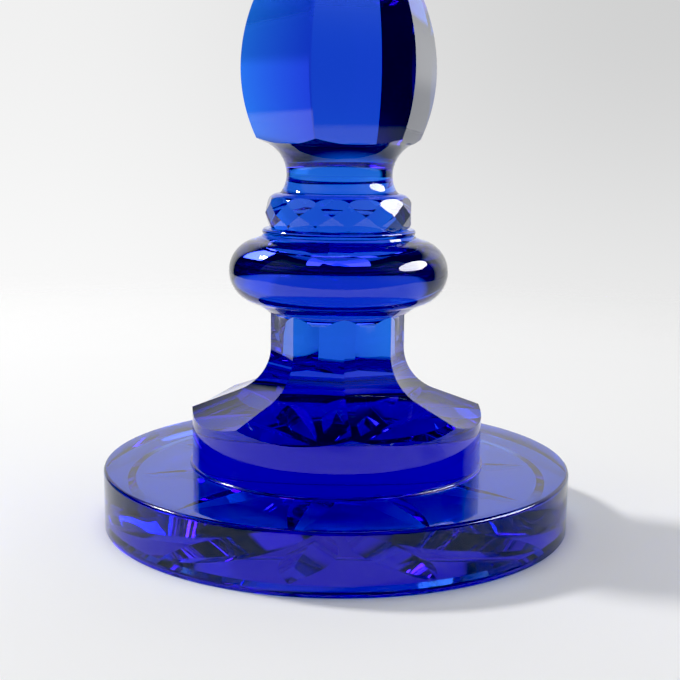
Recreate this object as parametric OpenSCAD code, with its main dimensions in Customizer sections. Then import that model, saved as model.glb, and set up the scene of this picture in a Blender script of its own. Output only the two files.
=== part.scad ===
// Cut-glass candlestick: hot-joined sections of solid cobalt glass, stacked face to face on one
// vertical axis. Every section meets the next on a flat round face, so the stack closes with no gap.
// The front of the candlestick faces -Y. Angles named *_turn are measured from +X about +Z.

/* [Foot] */
// Diameter of the foot disc
foot_d = 120; // [112:1:130]
// Thickness of the foot disc
foot_t = 15; // [13:0.5:17]
// Radius of the round on the foot's upper edge
foot_round = 0.9; // [0.5:0.1:1.5]
// Radius of the recessed underside, inside the standing rim
recess_r = 52; // [50:0.5:53]
// Depth of the recessed underside
recess_h = 0.8; // [0.4:0.1:1.2]

/* [Star cut under the foot] */
// Number of mitre-cut rays
star_rays = 10; // [8:1:12]
// Depth of a ray at its middle, above the recess
star_depth = 2.9; // [2:0.1:3.4]
// Half angle of the mitre wheel's edge, in degrees
star_half_angle = 60; // [50:1:65]
// Radius at which a ray's outer point ends
star_tip_r = 51; // [48:0.5:51.5]

/* [Hub] */
// Radius of the round drum that stands on the foot
drum_r = 37.4; // [35:0.2:39]
// Height of the fluted shoulder's line above the foot, at the drum's edge
shoulder_h = 13.1; // [12:0.1:15]
// Number of flutes around the shoulder and neck
flutes = 8; // [8:1:8]
// Distance from the axis to a neck panel
neck_a = 15.95; // [15:0.05:17]
// Height of the neck's top face
hub_top = 54.4; // [53:0.2:56]

/* [Knop] */
// Largest radius of the cushion knop
knop_r = 27.95; // [27:0.05:29]
// Radius of the knop's rounded rim, in section
knop_round = 8.15; // [7.8:0.05:8.4]
// Height of the knop's top face
knop_top = 73.7; // [73.3:0.1:74.2]

/* [Merese and cut ring] */
// Radius of the thin merese
merese_r = 19.5; // [19:0.1:20.5]
// Thickness of a merese
merese_t = 1.6; // [1.2:0.1:2]
// Number of facets in each row of the cut ring
facets = 14; // [12:1:16]
// Largest radius of the cut ring before cutting
ring_r = 18.75; // [18.2:0.05:19.2]
// Height of the cut ring
ring_h = 8.9; // [8.5:0.1:9.5]

/* [Stem] */
// Largest distance from the axis to a panel of the baluster
stem_a = 21.85; // [20:0.05:23]
// Height of the baluster's widest place
stem_wide_z = 114.5; // [112:0.5:117]
// Distance from the axis to a panel where the stem is thinnest
stem_neck_a = 10.9; // [10:0.1:12]
// Height at which the stem is thinnest
stem_neck_z = 171; // [165:0.5:175]

/* [Candle cup] */
// Largest distance from the axis to a panel of the cup
cup_a = 18.6; // [17.5:0.1:19.5]
// Height of the cup, from its seat to the top of the lip
cup_h = 49.8; // [48:0.2:52]
// Radius of the flared lip
lip_r = 27; // [25:0.5:29]
// Radius of the candle socket
socket_r = 11.4; // [11:0.1:12]
// Depth of the candle socket
socket_depth = 30; // [26:0.5:32]

/* [Hidden] */

$fn = 96;
far = 60; // half the size of a cutting prism or block
cobalt = [0.07, 0.13, 0.80];
azure = [0.10, 0.24, 0.90];

// Turn of the first ridge, ray or facet of each cut pattern
star_turn = -101;
flute_turn = -84.5;
facet_turn = -95.2;
stem_turn = -105.5;

foot_r = foot_d / 2;
under_round = 0.15; // small round on the foot's lower edge
recess_slope = 2; // how far the recess takes to slope down to the standing rim
shoulder_slope = 0.397; // fall of the shoulder for each mm outwards
sweep_r = 12; // radius that carries a flute from the neck into the shoulder
flare_r = 2.4; // radius of the small flare under the knop
knop_cr = knop_r - knop_round; // radius of the circle on which the rim's section is centred
knop_cz = 64.5; // height of the same circle
ring_z = knop_top + merese_t; // underside of the cut ring
stem_z = ring_z + ring_h; // underside of the stem
waist_r = 13.4; // smallest radius of the waist
waist_z = 88.7; // height of the smallest radius
upper_scale = 0.86; // size of the upper ring beside the lower one
stem_top = 177;
upper_merese_z = stem_top + upper_scale * ring_h;
cup_z = upper_merese_z + merese_t;
lip_t = 3.2; // thickness of the lip at its edge

// Points on an arc about (cx, cy), from angle a to angle b
function arc(cx, cy, r, a, b, n = 12) =
    [for (i = [0:n]) [cx + r * cos(a + (b - a) * i / n), cy + r * sin(a + (b - a) * i / n)]];

// A prism that is mirror-symmetric about the axis, with its right-hand outline given as points
module panel_prism(points, turn) {
    count = len(points);
    outline = concat(points, [for (i = [count - 1:-1:0]) [-points[i][0], points[i][1]]]);
    rotate([0, 0, turn]) rotate([90, 0, 0])
        linear_extrude(height = 2 * far, center = true) polygon(outline);
}

// The shape between opposite pairs of flat panels, n panels in all, with ridges starting at turn
module panelled(points, n, turn) {
    intersection_for(i = [0:n / 2 - 1]) panel_prism(points, turn + 180 / n + 360 / n * i);
}

module foot() {
    color(cobalt) difference() {
        rotate_extrude() polygon(concat(
            [[0, recess_h], [recess_r, recess_h], [recess_r + recess_slope, 0]],
            arc(foot_r - under_round, under_round, under_round, -90, 0, 4),
            arc(foot_r - foot_round, foot_t - foot_round, foot_round, 0, 90, 4),
            [[0, foot_t]]));
        for (i = [0:star_rays - 1])
            rotate([0, 0, star_turn + 360 / star_rays * i]) star_ray();
    }
}

// One mitre-cut ray: a V groove that sinks from both its points to its full depth in the middle
module star_ray() {
    half_length = star_tip_r / 2 - 2.2;
    intersection() {
        translate([star_tip_r, 0, recess_h]) star_groove(half_length);
        translate([star_tip_r - 2 * half_length, 0, recess_h]) rotate([0, 0, 180])
            star_groove(half_length);
    }
}

// A long V groove along -X, whose keel starts at the origin and climbs as it goes
module star_groove(half_length) {
    depth = star_depth + 2; // how far the cutting wedge reaches below its keel
    side = depth * tan(star_half_angle);
    rotate([0, atan(star_depth / half_length), 0]) rotate([90, 0, -90])
        linear_extrude(height = 2 * half_length + 2) polygon([[0, 0], [-side, -depth], [side, -depth]]);
}

// Distance from the axis to a flute, from the drum's edge up to the neck's top
function flute_line() = let (
        start = atan(1 / shoulder_slope),
        bend_a = neck_a + sweep_r * (1 - cos(start)),
        edge_a = drum_r + 3,
        edge_z = foot_t + shoulder_h - (edge_a - drum_r) * shoulder_slope,
        bend_z = edge_z + (edge_a - bend_a) * shoulder_slope,
        bend = arc(neck_a + sweep_r, bend_z + sweep_r * sin(start), sweep_r, 180 + start, 180, 8))
    concat([[edge_a, foot_t], [edge_a, edge_z]], bend, [[neck_a, hub_top - flare_r + 0.4]]);

module hub() {
    bead = 0.7; // the small round bead where the drum is joined to the foot
    color(cobalt) union() {
        intersection() {
            translate([0, 0, foot_t]) cylinder(r = drum_r, h = hub_top - foot_t);
            panelled(flute_line(), flutes, flute_turn);
        }
        translate([0, 0, foot_t]) rotate_extrude() polygon(concat(
            [[0, 0]], arc(drum_r, 0, bead, 0, 90, 4), [[0, bead]]));
        rotate_extrude() polygon(concat(
            [[0, hub_top], [0, hub_top - flare_r - 1]],
            arc(neck_a + flare_r - 0.1, hub_top - flare_r, flare_r, 180, 90, 6)));
    }
}

module knop() {
    base_r = neck_a + flare_r - 0.1;
    color(cobalt) rotate_extrude() polygon(concat(
        [[0, hub_top], [base_r, hub_top]],
        arc(knop_cr, knop_cz, knop_round, -78, 80, 20),
        [[merese_r, knop_top], [0, knop_top]]));
}

// A thin disc of glass with a rounded edge
module merese_disc(r) {
    edge = merese_t / 2;
    rotate_extrude() polygon(concat([[0, 0]], arc(r - edge, edge, edge, -90, 90, 6), [[0, merese_t]]));
}

module merese() {
    color(azure) translate([0, 0, knop_top]) merese_disc(merese_r);
}

// A round ring cut all over with flat facets. The middle row is half a step round from the other two,
// and the rows meet in a lattice of points
module diamond_ring() {
    half_pitch = 180 / facets;
    mid_z = 3.9; // height of the row of points round the middle
    tilt = 19.3; // how far the upper and lower facets lean
    difference() {
        rotate_extrude() polygon(concat(
            [[0, 0]],
            arc(ring_r - 1.95, 1.5, 1.5, -90, -10, 6),
            [[ring_r + 0.05, mid_z]],
            arc(15.1, ring_h - 3.4, 3.4, 20, 90, 8),
            [[0, ring_h]]));
        for (i = [0:facets - 1]) {
            facet_cut(facet_turn + 2 * half_pitch * i, tilt, ring_r, mid_z);
            facet_cut(facet_turn + 2 * half_pitch * i, -tilt, ring_r, mid_z);
            facet_cut(facet_turn + 2 * half_pitch * (i + 0.5), 0, ring_r * cos(half_pitch), mid_z);
        }
    }
}

// A block whose inner face passes through a point of the ring's section and leans by a tilt
module facet_cut(turn, tilt, reach, mid_z) {
    rotate([0, 0, turn]) translate([reach, 0, mid_z]) rotate([0, -tilt, 0])
        translate([0, -far / 4, -far / 8]) cube([far / 4, far / 2, far / 4]);
}

module cut_ring() {
    color(azure) translate([0, 0, ring_z]) diamond_ring();
}

// Distance from the axis to a panel of the baluster: one bulging arc below its widest place, one
// above it, and a hollow arc that brings it to the thin neck
function baluster_line() = let (
        low_r = 43.5,
        high_r = 48,
        rise = stem_neck_z - stem_wide_z,
        turn = 2 * atan((stem_a - stem_neck_a) / rise),
        hollow_r = rise / sin(turn) - high_r)
    concat(
        [[stem_a - low_r * (1 - cos(32)) , stem_z]],
        arc(stem_a - low_r, stem_wide_z, low_r, -32, 0, 8),
        arc(stem_a - high_r, stem_wide_z, high_r, 3, turn, 8),
        arc(stem_neck_a + hollow_r, stem_neck_z, hollow_r, 180 + turn, 180, 8),
        [[stem_neck_a, stem_top]]);

module stem() {
    color(cobalt) union() {
        intersection() {
            rotate_extrude() polygon(concat(
                [[0, stem_z], [15, stem_z]],
                arc(waist_r + 7.2, waist_z, 7.2, 215, 180, 5),
                arc(waist_r + 8.6, waist_z, 8.6, 176, 115, 8),
                [[far / 2, 101.4], [far / 2, stem_top - 4], [0, stem_top - 4]]));
            union() {
                panelled(baluster_line(), 6, stem_turn);
                translate([0, 0, stem_z]) cylinder(r = 16, h = 12);
            }
        }
        rotate_extrude() polygon(concat(
            [[0, stem_top], [0, stem_top - 6]],
            arc(stem_neck_a + 3.6, stem_top - 3.2, 3.2, 180, 90, 6)));
    }
}

module upper_ring() {
    color(azure) translate([0, 0, stem_top]) scale(upper_scale) diamond_ring();
}

module upper_merese() {
    color(azure) translate([0, 0, upper_merese_z]) merese_disc(merese_r * upper_scale);
}

// Distance from the axis to a panel of the candle cup
function cup_line() = let (belly_z = cup_z + 20)
    concat(
        [[9, cup_z + 1]],
        arc(cup_a - 17, belly_z, 17, -62, 0, 8),
        arc(cup_a - 60, belly_z, 60, 4, 14, 4),
        [[cup_a - 60 * (1 - cos(14)) , cup_z + cup_h]]);

module candle_cup() {
    top = cup_z + cup_h;
    mouth = 0.8; // chamfer round the mouth of the socket
    color(cobalt) difference() {
        union() {
            panelled(cup_line(), 6, stem_turn);
            translate([0, 0, cup_z]) cylinder(r = 12.6, h = 6);
            rotate_extrude() polygon(concat(
                [[0, top], [0, top - 16], [cup_a - 2, top - 16]],
                arc(lip_r - 1, top - 14, 10, 180, 100, 8),
                arc(lip_r - 2, top - 2, 2, -60, 90, 6)));
        }
        translate([0, 0, top - socket_depth]) cylinder(r = socket_r, h = socket_depth + 1);
        translate([0, 0, top - mouth]) cylinder(r1 = socket_r, r2 = socket_r + mouth + 0.2, h = mouth + 0.2);
    }
}

foot();
hub();
knop();
merese();
cut_ring();
stem();
upper_ring();
upper_merese();
candle_cup();
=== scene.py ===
"""Looks of the cut-glass candlestick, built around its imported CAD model.

Every section of glass is its own closed mesh. Sizes are in millimetres until a mesh is made. Heights and
largest radii come from the CAD nodes' boxes. Angles are in degrees, from +X about +Z, as in the CAD model.
"""

import math

import bmesh
import bpy
from mathutils import Matrix, Vector

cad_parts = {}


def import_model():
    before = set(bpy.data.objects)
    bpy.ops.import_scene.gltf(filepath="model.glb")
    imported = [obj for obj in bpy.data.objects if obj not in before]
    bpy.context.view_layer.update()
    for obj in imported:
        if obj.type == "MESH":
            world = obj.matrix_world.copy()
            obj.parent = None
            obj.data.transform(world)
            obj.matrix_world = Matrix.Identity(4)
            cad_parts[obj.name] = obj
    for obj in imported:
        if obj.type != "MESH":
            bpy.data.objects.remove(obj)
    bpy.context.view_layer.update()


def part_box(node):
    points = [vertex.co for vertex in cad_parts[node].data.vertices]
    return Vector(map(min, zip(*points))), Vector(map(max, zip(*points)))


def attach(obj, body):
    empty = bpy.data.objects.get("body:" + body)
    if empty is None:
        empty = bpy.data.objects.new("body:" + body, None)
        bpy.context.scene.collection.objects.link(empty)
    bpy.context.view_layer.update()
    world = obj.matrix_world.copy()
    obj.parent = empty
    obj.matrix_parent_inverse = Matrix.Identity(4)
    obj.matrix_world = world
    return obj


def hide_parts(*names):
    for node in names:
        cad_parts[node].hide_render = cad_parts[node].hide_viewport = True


MM = 0.001
STEP = 1.5  # spacing of a mesh's columns around the axis
SHARP = 12.0  # an edge that bends by more than this stays crisp
GAP = 0.04  # air left between two sections where they are welded
EDGE = 0.35  # half the width of the polished line on a ridge, measured as an angle
MERGE = 2e-7  # points closer than this many metres become one

# Turn of the first ridge, ray or facet of each cut pattern
STAR_TURN, FLUTE_TURN, FACET_TURN, STEM_TURN = -101.0, -84.5, -95.2, -105.5


def sin(angle):
    return math.sin(math.radians(angle))


def cos(angle):
    return math.cos(math.radians(angle))


def arc(cx, cy, r, a, b, n):
    """Points on an arc about (cx, cy), from angle a to angle b."""
    return [(cx + r * cos(a + (b - a) * i / n), cy + r * sin(a + (b - a) * i / n)) for i in range(n + 1)]


def between(a, b, n):
    """n points on the way from a to b, without either end."""
    return [tuple(p + (q - p) * i / (n + 1) for p, q in zip(a, b)) for i in range(1, n + 1)]


def spot(r, angle, z):
    """The point at radius r, an angle and height z, in metres."""
    return Vector((r * cos(angle), r * sin(angle), z)) * MM


def span(node):
    """Lowest height, highest height and largest radius of a CAD node."""
    low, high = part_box(node)
    return low.z / MM, high.z / MM, max(high.x, high.y) / MM


def meeting(f, low, high):
    """Where f, which is below zero at low and above it at high, passes zero."""
    for _ in range(40):
        middle = (low + high) / 2
        low, high = (middle, high) if f(middle) < 0 else (low, middle)
    return (low + high) / 2


def off_middle(angle, turn, pitch):
    """Angle from the middle of the panel that it falls in. Ridges are a pitch apart, the first at turn."""
    return abs((angle - turn) % pitch - pitch / 2)


def columns(ridges=0, turn=0.0):
    """Angles of a mesh's columns, with a narrow pair either side of each ridge."""
    if not ridges:
        return [i * STEP for i in range(round(360 / STEP))]
    pitch = 360 / ridges
    steps = round(pitch / STEP)
    inner = [pitch * i / steps for i in range(1, steps)]
    return [turn + pitch * k + a for k in range(ridges) for a in [-EDGE, 0.0, EDGE, *inner]]


def skin(rows):
    """A bmesh whose faces join each row of points to the next one, and the last row to the first."""
    mesh = bmesh.new()
    rows = [[mesh.verts.new(point) for point in row] for row in rows]
    for here, after in zip(rows, rows[1:] + rows[:1]):
        for i in range(len(here) - 1):
            mesh.faces.new((here[i], after[i], after[i + 1], here[i + 1]))
    bmesh.ops.remove_doubles(mesh, verts=mesh.verts, dist=MERGE)
    bmesh.ops.dissolve_degenerate(mesh, edges=mesh.edges, dist=MERGE / 2)
    bmesh.ops.recalc_face_normals(mesh, faces=mesh.faces)
    return mesh


def grid(name, angles, section, welds=(), carve=None, eased=()):
    """A closed mesh from one outline at each angle. section(angle) gives points from the axis, out and back.

    carve(mesh) may cut the mesh before its edges are sorted into smooth and crisp ones. finished() says what
    welds and eased are.
    """
    mesh = skin([[spot(r, angle, z) for r, z in section(angle)] for angle in angles])
    if carve:
        carve(mesh)
    return finished(name, mesh, welds, eased)


def finished(name, mesh, welds, eased=()):
    """The object made from a bmesh, with crisp edges marked and two kinds of face named in attributes.

    welds are pairs (height, radius): flat faces at that height and within that radius are joined to a
    neighbour. eased are (lowest height, highest height, least radius) of narrow worn edges.
    """
    limit = math.radians(SHARP)
    for face in mesh.faces:
        face.smooth = True
    for edge in mesh.edges:
        edge.smooth = not (len(edge.link_faces) == 2 and edge.calc_face_angle(0.0) > limit)
    weld = mesh.faces.layers.float.new("weld")
    worn = mesh.faces.layers.float.new("worn")
    for face in mesh.faces:
        centre = face.calc_center_median() / MM
        face[weld] = float(any(
            abs(centre.z - z) < 1e-3 and math.hypot(centre.x, centre.y) < r for z, r in welds))
        face[worn] = float(any(
            low < centre.z < high and math.hypot(centre.x, centre.y) > r for low, high, r in eased))
    data = bpy.data.meshes.new(name)
    mesh.to_mesh(data)
    mesh.free()
    piece = bpy.data.objects.new(name, data)
    bpy.context.scene.collection.objects.link(piece)
    return piece


# ---------------------------------------------------------------- foot

def foot_piece(hub_edge):
    """Thick disc with a rounded edge, a standing rim and a star of mitre cuts under it."""
    low, high, radius = span("foot")
    edge_r, under, recess_r, recess_h, recess_slope = 0.9, 0.15, 52.0, 0.8, 2.0
    rays, depth, tip, inner_tip = 10, 2.9, 51.0, 4.4
    half = (tip - inner_tip) / 2
    middle = tip - half
    lean = math.tan(math.radians(60))  # a groove's walls lean this far from upright
    pitch = 360 / rays
    ray_steps, land_steps, length_steps = 3, round(pitch / 2 / STEP), 30

    def keel(x):
        """Depth of a groove's sharp bottom at a distance from the axis."""
        return max(depth * (1 - ((x - middle) / half) ** 2), 0.0)

    def edge_angle(r):
        """Angle from a ray's middle line to its edge, at radius r."""
        angle = 0.0
        for _ in range(12):
            angle = math.degrees(math.asin(min(keel(r * cos(angle)) * lean / r, 0.9)))
        return angle

    def star_point(r, offset):
        """A point of the cut underside. share is 0 on a ray's middle, 1 on its edge and 2 between rays."""
        ray, side, share = offset
        edge = edge_angle(r)
        at = edge * share if share <= 1 else edge + (pitch / 2 - edge) * (share - 1)
        height = max(keel(r * cos(at)) - r * sin(at) / lean, 0.0) if share < 1 else 0.0
        return spot(r, STAR_TURN + pitch * ray + side * at, low + recess_h + height)

    shares = [i / ray_steps for i in range(ray_steps)] + [1 + i / land_steps for i in range(land_steps + 1)]
    order = [(-1, s) for s in reversed(shares[1:])] + [(1, s) for s in shares[:-1]]
    offsets = [(ray, side, share) for ray in range(rays) for side, share in order]
    radii = [inner_tip + 2 * half * i / length_steps for i in range(length_steps + 1)]
    outline = (
        [(recess_r, low + recess_h), (recess_r + recess_slope, low)]
        + arc(radius - under, low + under, under, -90, 0, 6)
        + between((radius, low + under), (radius, high - edge_r), 3)
        + arc(radius - edge_r, high - edge_r, edge_r, 0, 90, 8)
        + between((radius - edge_r, high), (hub_edge, high), 6)
        + [(hub_edge, high), (hub_edge / 2, high), (0, high)])

    def row(offset):
        end = star_point(tip, offset)
        angle = math.degrees(math.atan2(end.y, end.x))
        under_side = [spot(0, 0, low + recess_h)] + [star_point(r, offset) for r in radii]
        return under_side + [spot(r, angle, z) for r, z in outline]

    worn_edge = (high - edge_r, high - 0.001, radius - edge_r)
    return finished("foot_glass", skin([row(offset) for offset in offsets]), [(high, hub_edge)], [worn_edge])


# ---------------------------------------------------------------- hub

def hub_piece():
    """Drum, eight hollow flutes that sweep up from it, the neck they leave, and the flare above them."""
    low, high, bead_r = span("hub")
    bead = 0.7
    drum_r = bead_r - bead
    flutes, neck_a, sweep_r, slope, shoulder_h = 8, 15.95, 12.0, 0.397, 13.1
    flare_r, flare_inset = 2.4, 0.1
    wheel_x = 106.0  # distance from the axis to the centre of the wheel that hollows a flute
    half = 180 / flutes
    tan_half = math.tan(math.radians(half))
    start = math.degrees(math.atan(1 / slope))
    bend_a = neck_a + sweep_r * (1 - cos(start))
    bend_z = low + shoulder_h + (drum_r - bend_a) * slope
    arc_z = bend_z + sweep_r * sin(start)
    foot_z = low + GAP

    def wheel(a):
        """Radius of the hollowing wheel where the ridges lie as on flat panels at distance a."""
        return math.hypot(wheel_x - a, a * tan_half)

    def radius(a, off):
        """Distance from the axis to the flute, at an angle off its middle line."""
        return wheel_x * cos(off) - math.sqrt(wheel(a) ** 2 - (wheel_x * sin(off)) ** 2)

    def panel_at(r, off):
        """The flat panel's distance that gives radius r at an angle off the middle line."""
        reach = wheel_x**2 - ((wheel_x - r * cos(off)) ** 2 + (r * sin(off)) ** 2)
        k = 1 + tan_half**2
        return (wheel_x - math.sqrt(wheel_x**2 - k * reach)) / k

    def flare(z):
        """Radius of the round flare under the knop."""
        rise = min(max(z - (high - flare_r), 0.0), flare_r)
        return neck_a - flare_inset + flare_r - math.sqrt(flare_r**2 - rise**2)

    def section(angle):
        off = off_middle(angle, FLUTE_TURN, 2 * half)
        top_a = panel_at(drum_r, off)
        top_z = low + shoulder_h + (drum_r - top_a) * slope
        neck = radius(neck_a, off)
        end_z = meeting(lambda z: flare(z) - neck, high - flare_r - 0.01, high)
        line = between((top_a, top_z), (bend_a, bend_z), 7)
        bend = arc(neck_a + sweep_r, arc_z, sweep_r, 180 + start, 180, 16)
        wall = between((neck_a, arc_z), (neck_a, end_z), 2)
        rise = [end_z + (high - end_z) * i / 8 for i in range(9)]
        return (
            [(0, foot_z), (drum_r / 2, foot_z), (bead_r, foot_z)]
            + arc(drum_r, low, bead, 12, 90, 6)
            + between((drum_r, low + bead), (drum_r, top_z), 6) + [(drum_r, top_z)]
            + [(radius(a, off), z) for a, z in line + bend + wall]
            + [(flare(z), z) for z in rise]
            + [(flare(high) / 2, high), (0, high)])

    return grid("hub_glass", columns(flutes, FLUTE_TURN), section,
                [(foot_z, bead_r), (high, flare(high))], eased=[(low + 0.1, low + bead, drum_r)])


# ---------------------------------------------------------------- turned sections

def turned(name, outline, welds):
    return grid(name, columns(), lambda angle: outline, welds)


def knop_piece(base_r, cap_r):
    """Cushion knop: a disc with a deep rounded rim."""
    low, high, radius = span("knop")
    rim, rim_z = 8.15, 64.5
    step_r, step_h, top_r = 19.7, 0.5, 19.4
    foot_z = low + GAP
    rim_arc = arc(radius - rim, rim_z, rim, -78, 80, 30)
    outline = (
        [(0, foot_z), (base_r / 2, foot_z), (base_r, foot_z)]
        + between((base_r, foot_z), rim_arc[0], 2) + rim_arc
        + [(step_r, high - step_h), (top_r, high), (cap_r, high), (cap_r / 2, high), (0, high)])
    return turned("knop_glass", outline, [(foot_z, base_r), (high, cap_r)])


def merese_piece(node, name, under_r, over_r):
    """Thin disc with a rounded edge."""
    low, high, radius = span(node)
    edge = (high - low) / 2
    foot_z = low + GAP
    outline = (
        [(0, foot_z), (under_r / 2, foot_z), (under_r, foot_z)]
        + arc(radius - edge, low + edge, edge, -87, 90, 12)
        + [(over_r, high), (over_r / 2, high), (0, high)])
    return turned(name, outline, [(foot_z, under_r), (high, over_r)])


def ring_piece(node, name, scale):
    """Round ring cut all over with three rows of flat facets that meet in a lattice of points."""
    low, high, _ = span(node)
    ring_r, facets, tilt, mid, top_r = 18.75, 14, 19.3, 3.9, 15.1
    under_bend, top_bend, spare = 1.5, 3.4, 0.05  # spare is glass that the facets take off
    half = 180 / facets
    base_z = low / scale
    foot_z = base_z + GAP
    top_z = high / scale
    under_r = ring_r - 1.95
    widest = (ring_r + spare, base_z + mid)
    under_end, top_start = (under_r + 1.48, base_z + 1.24), (18.3, base_z + 6.66)
    outline = (
        [(0, foot_z), (under_r / 2, foot_z), (under_r, foot_z)]
        + arc(under_r, base_z + under_bend, under_bend, -78, -10, 8)
        + between(under_end, widest, 3) + [widest] + between(widest, top_start, 3)
        + arc(top_r, top_z - top_bend, top_bend, 20, 90, 16)
        + [(top_r / 2, top_z), (0, top_z)])

    def carve(mesh):
        """Cuts the upper and lower rows, then the middle row half a step round from them."""
        for lean, shift, reach in ((tilt, 0, ring_r), (-tilt, 0, ring_r), (0, 0.5, ring_r * cos(half))):
            for i in range(facets):
                turn = FACET_TURN + 2 * half * (i + shift)
                way = Vector((cos(lean) * cos(turn), cos(lean) * sin(turn), sin(lean)))
                point = Vector((reach * cos(turn), reach * sin(turn), base_z + mid))
                facet(mesh, point * scale * MM, way)

    scaled = [(r * scale, z * scale) for r, z in outline]
    return grid(name, columns(), lambda angle: scaled,
                [(foot_z * scale, under_r * scale), (high, top_r * scale)], carve)


def facet(mesh, point, way):
    """Cuts everything beyond a plane off a mesh and closes it with one flat face."""
    parts = list(mesh.verts) + list(mesh.edges) + list(mesh.faces)
    cut = bmesh.ops.bisect_plane(mesh, geom=parts, dist=1e-8, plane_co=point, plane_no=way, clear_outer=True)
    rim = [e for e in cut["geom_cut"] if isinstance(e, bmesh.types.BMEdge) and e.is_boundary]
    bmesh.ops.edgeloop_fill(mesh, edges=rim)


# ---------------------------------------------------------------- stem

def stem_piece(base_r, cap_r):
    """Round waist, six-sided baluster and the small flare at its top."""
    low, high, _ = span("stem")
    wide_z, wide_a, neck_z, neck_a = 114.5, 21.85, 171.0, 10.9
    low_r, high_r = 43.5, 48.0
    waist_r, waist_z, low_bend, high_bend = 13.4, 88.7, 7.2, 8.6
    cone_r, cone_z = 30, 101.4  # the cone under the baluster would reach this radius at this height
    flare_r, flare_a = 3.2, neck_a + 3.6
    rise = neck_z - wide_z
    turn = 2 * math.degrees(math.atan((wide_a - neck_a) / rise))
    hollow_r = rise / sin(turn) - high_r
    swap_z = wide_z + high_r * sin(turn)
    foot_z = low + GAP
    waist = arc(waist_r + low_bend, waist_z, low_bend, 215, 180, 10)
    waist += arc(waist_r + high_bend, waist_z, high_bend, 180, 115, 20)[1:]
    last_r, last_z = waist[-1]
    spread = (cone_r - last_r) / (cone_z - last_z)

    def panel(z):
        """Distance from the axis to a flat panel."""
        if z < wide_z:
            return wide_a - low_r + math.sqrt(low_r**2 - (wide_z - z) ** 2)
        if z < swap_z:
            return wide_a - high_r + math.sqrt(high_r**2 - (z - wide_z) ** 2)
        if z < neck_z:
            return neck_a + hollow_r - math.sqrt(hollow_r**2 - (neck_z - z) ** 2)
        return neck_a

    def flare(z):
        rise = min(max(z - (high - flare_r), 0.0), flare_r)
        return flare_a - math.sqrt(flare_r**2 - rise**2)

    def section(angle):
        off = off_middle(angle, STEM_TURN, 60)
        start_z = meeting(lambda z: last_r + (z - last_z) * spread - panel(z) / cos(off), last_z, last_z + 4)
        reach = panel(high) / cos(off)
        end_z = meeting(lambda z: flare(z) - reach, high - flare_r - 0.01, high)
        cone = between((last_r, last_z), (last_r + (start_z - last_z) * spread, start_z), 3)
        heights = [start_z + (end_z - start_z) * (i / 60) for i in range(61)]
        top = [end_z + (high - end_z) * i / 8 for i in range(1, 9)]
        return (
            [(0, foot_z), (base_r / 2, foot_z), (base_r, foot_z)] + waist + cone
            + [(panel(z) / cos(off), z) for z in heights]
            + [(flare(z), z) for z in top]
            + [(cap_r, high), (cap_r / 2, high), (0, high)])

    return grid("stem_glass", columns(6, STEM_TURN), section, [(foot_z, base_r), (high, cap_r)])


# ---------------------------------------------------------------- candle cup

def cup_piece(base_r):
    """Six-sided tulip cup with a round flared lip and the candle socket."""
    low, high, lip_r = span("candle_cup")
    belly_a, belly_r, upper_r, belly_z = 18.6, 17.0, 60.0, low + 20
    socket_r, socket_depth, mouth = 11.4, 30.0, 0.8
    lip_t, lip_bend, lip_turn = 3.2, 10.0, 80
    foot_z = low + GAP
    collar_z = low + 2.2
    bend_z = high - lip_t - lip_bend
    bend_top = bend_z + lip_bend * sin(lip_turn)

    def panel(z):
        if z < belly_z:
            return belly_a - belly_r + math.sqrt(max(belly_r**2 - (belly_z - z) ** 2, 0.0))
        drop = min(z - belly_z, upper_r * sin(14))
        return belly_a - upper_r + math.sqrt(upper_r**2 - drop**2)

    def flare(z):
        rise = min(max(z - bend_z, 0.0), lip_bend * sin(lip_turn))
        return lip_r - 1 - math.sqrt(lip_bend**2 - rise**2)

    def section(angle):
        off = off_middle(angle, STEM_TURN, 60)
        start_z = meeting(lambda z: panel(z) / cos(off) - base_r, low + 2.6, low + 14)
        end_z = meeting(lambda z: flare(z) - panel(z) / cos(off), bend_z - 0.2, high - lip_t - 0.4)
        heights = [start_z + (end_z - start_z) * i / 40 for i in range(41)]
        bend = [end_z + (bend_top - end_z) * i / 12 for i in range(1, 13)]
        return (
            [(0, foot_z), (base_r / 2, foot_z), (base_r, foot_z), (base_r, collar_z)]
            + [(panel(z) / cos(off), z) for z in heights]
            + [(flare(z), z) for z in bend]
            + arc(lip_r - lip_t / 2, high - lip_t / 2, lip_t / 2, -60, 90, 14)
            + [(socket_r + mouth, high), (socket_r, high - mouth)]
            + between((socket_r, high - mouth), (socket_r, high - socket_depth), 6)
            + [(socket_r, high - socket_depth), (0, high - socket_depth)])

    return grid("candle_cup_glass", columns(6, STEM_TURN), section, [(foot_z, base_r)])


# ---------------------------------------------------------------- node helpers

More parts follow.
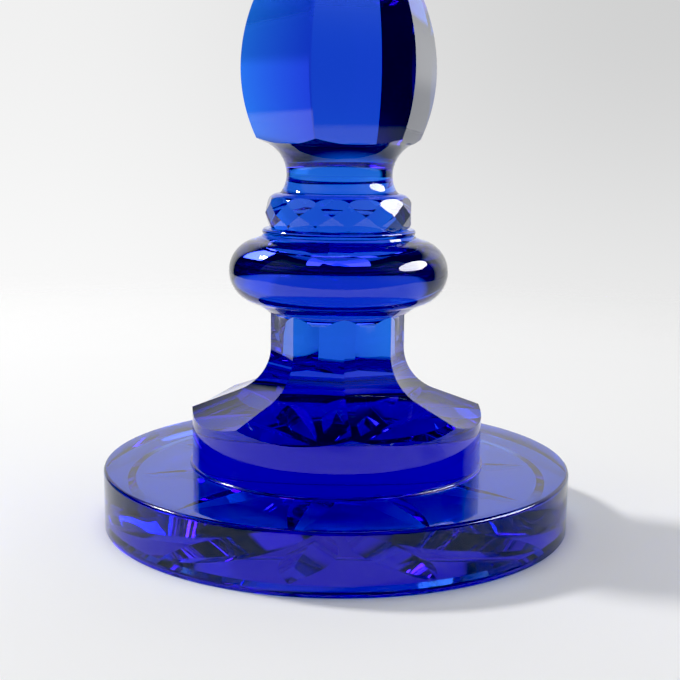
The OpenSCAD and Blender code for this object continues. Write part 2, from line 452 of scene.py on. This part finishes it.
class Graph:
    """Short names for the few node sums that the materials and the world share."""

    def __init__(self, tree):
        self.nodes, self.links = tree.nodes, tree.links

    def put(self, socket, value):
        if isinstance(value, bpy.types.NodeSocket):
            self.links.new(value, socket)
        else:
            socket.default_value = value

    def maths(self, operation, *values):
        node = self.nodes.new("ShaderNodeMath")
        node.operation = operation
        for socket, value in zip(node.inputs, values):
            self.put(socket, value)
        return node.outputs[0]

    def times(self, *values):
        out = values[0]
        for value in values[1:]:
            out = self.maths("MULTIPLY", out, value)
        return out

    def plus(self, *values):
        out = values[0]
        for value in values[1:]:
            out = self.maths("ADD", out, value)
        return out

    def ramp(self, value, start, end, low=0.0, high=1.0):
        """Smooth step from low to high as the value goes from start to end."""
        node = self.nodes.new("ShaderNodeMapRange")
        node.interpolation_type = "SMOOTHSTEP"
        names = ("Value", "From Min", "From Max", "To Min", "To Max")
        for name, setting in zip(names, (value, start, end, low, high)):
            self.put(node.inputs[name], setting)
        return node.outputs["Result"]

    def blend(self, factor, a, b):
        """Colour a where the factor is 0 and b where it is 1."""
        node = self.nodes.new("ShaderNodeMix")
        node.data_type = "RGBA"
        self.put(node.inputs["Factor"], factor)
        self.put(node.inputs["A"], a)
        self.put(node.inputs["B"], b)
        return node.outputs["Result"]

    def xyz(self, coordinates):
        node = self.nodes.new("ShaderNodeSeparateXYZ")
        self.links.new(self.nodes.new("ShaderNodeTexCoord").outputs[coordinates], node.inputs[0])
        return node.outputs


# ---------------------------------------------------------------- materials

def cobalt(name, tint, taken):
    """Polished cobalt glass. tint is the colour of a thin piece, and taken is how much red, green and blue
    a metre of it absorbs. The welded faces between two sections don't bend or tint light, and the worn edges
    are slightly rough."""
    streak_scale, paler, worn_roughness = 60.0, 1.12, 0.14
    mat = bpy.data.materials.new(name)
    mat.use_nodes = True
    g = Graph(mat.node_tree)
    shader = g.nodes["Principled BSDF"]
    weld = g.nodes.new("ShaderNodeAttribute")
    weld.attribute_name = "weld"
    streaks = g.nodes.new("ShaderNodeTexNoise")
    streaks.inputs["Scale"].default_value = streak_scale
    streaks.inputs["Detail"].default_value = 3.0
    g.links.new(g.nodes.new("ShaderNodeTexCoord").outputs["Object"], streaks.inputs["Vector"])
    pale_tint = tuple(min(c * paler, 1) for c in tint)
    surface = g.blend(streaks.outputs["Fac"], (*tint, 1), (*pale_tint, 1))
    g.put(shader.inputs["Base Color"], g.blend(weld.outputs["Fac"], surface, (1, 1, 1, 1)))
    g.put(shader.inputs["IOR"], g.ramp(weld.outputs["Fac"], 0.0, 1.0, 1.5, 1.0))
    shader.inputs["Transmission Weight"].default_value = 1.0
    worn = g.nodes.new("ShaderNodeAttribute")
    worn.attribute_name = "worn"
    g.put(shader.inputs["Roughness"], g.times(worn.outputs["Fac"], worn_roughness))
    volume = g.nodes.new("ShaderNodeVolumeAbsorption")
    density = max(taken) / 0.9
    volume.inputs["Color"].default_value = (*[1 - t / density for t in taken], 1)
    volume.inputs["Density"].default_value = density
    g.links.new(volume.outputs[0], g.nodes["Material Output"].inputs["Volume"])
    return mat


def paper():
    """White paper that fades into the surroundings away from the candlestick."""
    straight_fade, glass_fade, front_squeeze = (0.26, 0.60), (0.31, 0.38), 2.4
    mat = bpy.data.materials.new("pale_paper")
    mat.use_nodes = True
    g = Graph(mat.node_tree)
    shader = g.nodes["Principled BSDF"]
    shader.inputs["Base Color"].default_value = (0.86, 0.86, 0.86, 1)
    shader.inputs["Roughness"].default_value = 0.9
    shader.inputs["Specular IOR Level"].default_value = 0.1
    x, y, _ = g.xyz("Object")
    far = g.maths("SQRT", g.plus(g.times(x, x), g.times(y, y)))
    front = g.times(g.maths("MINIMUM", y, 0.0), front_squeeze)
    reach = g.maths("SQRT", g.plus(g.times(x, x), g.times(front, front)))
    # Seen straight it fades far out; in the glass it is a sheet that ends nearer
    straight = g.nodes.new("ShaderNodeLightPath").outputs["Is Camera Ray"]
    fade = g.plus(g.times(straight, g.ramp(far, *straight_fade)),
                  g.times(g.maths("SUBTRACT", 1.0, straight), g.ramp(reach, *glass_fade)))
    through = g.nodes.new("ShaderNodeBsdfTransparent")
    mix = g.nodes.new("ShaderNodeMixShader")
    g.put(mix.inputs[0], fade)
    g.links.new(shader.outputs[0], mix.inputs[1])
    g.links.new(through.outputs[0], mix.inputs[2])
    g.links.new(mix.outputs[0], g.nodes["Material Output"].inputs["Surface"])
    return mat


# ---------------------------------------------------------------- studio

def floor_piece():
    """The sheet of paper, a hair below the foot so that the two surfaces never coincide."""
    half, drop = 0.7, 0.05
    data = bpy.data.meshes.new("floor")
    corners = [(-half, -half), (half, -half), (half, half), (-half, half)]
    data.from_pydata([(x, y, -drop * MM) for x, y in corners], [], [(0, 1, 2, 3)])
    floor = bpy.data.objects.new("floor", data)
    bpy.context.scene.collection.objects.link(floor)
    floor.data.materials.append(paper())


def lamp(name, turn, rise, distance, size, power, on_glass=True, on_paper=True):
    """A soft lamp that faces the candlestick. turn is its direction, from the front towards the right, and
    rise is its height, both as angles. size is its width and height. It can be kept out of the glass's
    reflections or off the paper."""
    light = bpy.data.lights.new(name, "AREA")
    light.shape = "ELLIPSE"
    light.size, light.size_y = size
    light.energy = power
    obj = bpy.data.objects.new(name, light)
    way = Vector((cos(rise) * sin(turn), -cos(rise) * cos(turn), sin(rise)))
    obj.location = Vector((0, 0, 0.08)) + way * distance
    obj.rotation_euler = way.to_track_quat("Z", "Y").to_euler()
    obj.visible_camera = False
    obj.visible_glossy = on_glass
    obj.visible_diffuse = on_paper
    bpy.context.scene.collection.objects.link(obj)


def world():
    """A white sweep behind the candlestick in a dim studio. The picture's background is plain and pale."""
    sky = bpy.data.worlds.new("studio")
    bpy.context.scene.world = sky
    sky.use_nodes = True
    g = Graph(sky.node_tree)
    x, y, z = g.xyz("Generated")
    # Seen straight: white, a little darker up and to the right
    shown = g.plus(0.98, g.times(g.ramp(x, -0.3, 0.3), -0.12), g.times(g.ramp(z, -0.25, 0.12), -0.10),
                   g.times(g.ramp(x, -0.25, 0.25), g.ramp(z, -0.2, 0.12), -0.12))
    # Seen in or through the glass: a bright sweep at the back with a brighter window in its right half, dim
    # sides, and a dark front and ceiling. turn is the angle from straight back, towards the right
    turn = g.maths("ARCTAN2", x, y)
    sweep = g.times(g.ramp(turn, -0.75, -0.60), g.ramp(turn, 1.15, 0.95), g.ramp(z, 0.60, 0.45), 0.88)
    window = g.times(g.ramp(turn, 0.38, 0.48), g.ramp(turn, 0.85, 0.70), g.ramp(z, -0.03, 0.05), 0.35)
    side = g.times(g.ramp(y, 0.06, 0.0), g.ramp(y, -0.9, -0.4),
                   g.ramp(z, -0.28, 0.55), g.ramp(z, 0.9, 0.7), 0.45)
    front = 0.05
    hidden = g.maths("MAXIMUM", g.plus(sweep, g.times(window, sweep)), g.plus(side, front))
    path = g.nodes.new("ShaderNodeLightPath")
    straight = path.outputs["Is Camera Ray"]
    strength = g.plus(g.times(shown, straight), g.times(hidden, g.maths("SUBTRACT", 1.0, straight)))
    g.put(g.nodes["Background"].inputs["Strength"], strength)
    g.nodes["Background"].inputs["Color"].default_value = (1, 1, 1, 1)


def camera():
    """The photograph's view: level with the waist's top, a little above, tilted down."""
    data = bpy.data.cameras.new("camera")
    data.lens = 63.6
    data.sensor_width = 36
    data.clip_start = 0.01
    obj = bpy.data.objects.new("camera", data)
    tilt, roll = 9.6, 0.67
    place = Matrix.Translation((0.0006, -0.306, 0.0982))
    turn = Matrix.Rotation(math.radians(90 - tilt), 4, "X") @ Matrix.Rotation(math.radians(roll), 4, "Z")
    obj.matrix_world = place @ turn
    bpy.context.scene.collection.objects.link(obj)
    bpy.context.scene.camera = obj


def light_paths():
    """Enough bounces for light to cross the whole stack, and a tone curve with slightly deepened blacks."""
    scene = bpy.context.scene
    scene.cycles.max_bounces = 24
    scene.cycles.transmission_bounces = 24
    scene.cycles.glossy_bounces = 12
    scene.cycles.diffuse_bounces = 3
    scene.cycles.sample_clamp_indirect = 4.0
    scene.cycles.use_denoising = True
    scene.view_settings.view_transform = "Standard"
    scene.view_settings.use_curve_mapping = True
    scene.view_settings.curve_mapping.black_level = (0.02, 0.014, 0.012)
    scene.view_settings.curve_mapping.update()


def build():
    """Makes the nine sections of glass, hangs each one under the root body and hides the CAD node that it
    replaces.
    """
    hub_edge = span("hub")[2]
    neck_top_r, merese_flat, ring_foot, ring_top = 18.25, 18.7, 16.8, 15.1
    small = span("upper_ring")[2] / span("cut_ring")[2]
    solid = cobalt("cobalt_glass", (0.045, 0.48, 1.0), (10.0, 43.0, 8.0))
    thin = cobalt("cobalt_glass_thin", (0.45, 0.72, 1.0), (100.0, 60.0, 6.0))
    pieces = {
        "foot": foot_piece(hub_edge),
        "hub": hub_piece(),
        "knop": knop_piece(neck_top_r, merese_flat),
        "merese": merese_piece("merese", "merese_glass", merese_flat, ring_foot),
        "cut_ring": ring_piece("cut_ring", "cut_ring_glass", 1.0),
        "stem": stem_piece(15.0, ring_foot * small),
        "upper_ring": ring_piece("upper_ring", "upper_ring_glass", small),
        "upper_merese": merese_piece("upper_merese", "upper_merese_glass", ring_top * small, 12.6),
        "candle_cup": cup_piece(12.6),
    }
    for node, piece in pieces.items():
        piece.data.materials.append(thin if node == "candle_cup" else solid)
        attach(piece, "root")
        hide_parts(node)


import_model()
build()
floor_piece()
lamp("key_left", -112, 38.5, 1.8, (0.26, 0.26), 21.0)
lamp("soft_right", 93, 27, 0.9, (0.68, 0.33), 9.0, on_paper=False)
lamp("fill_top", 180, 84, 1.6, (1.2, 1.2), 14.0, on_glass=False)
world()
camera()
light_paths()
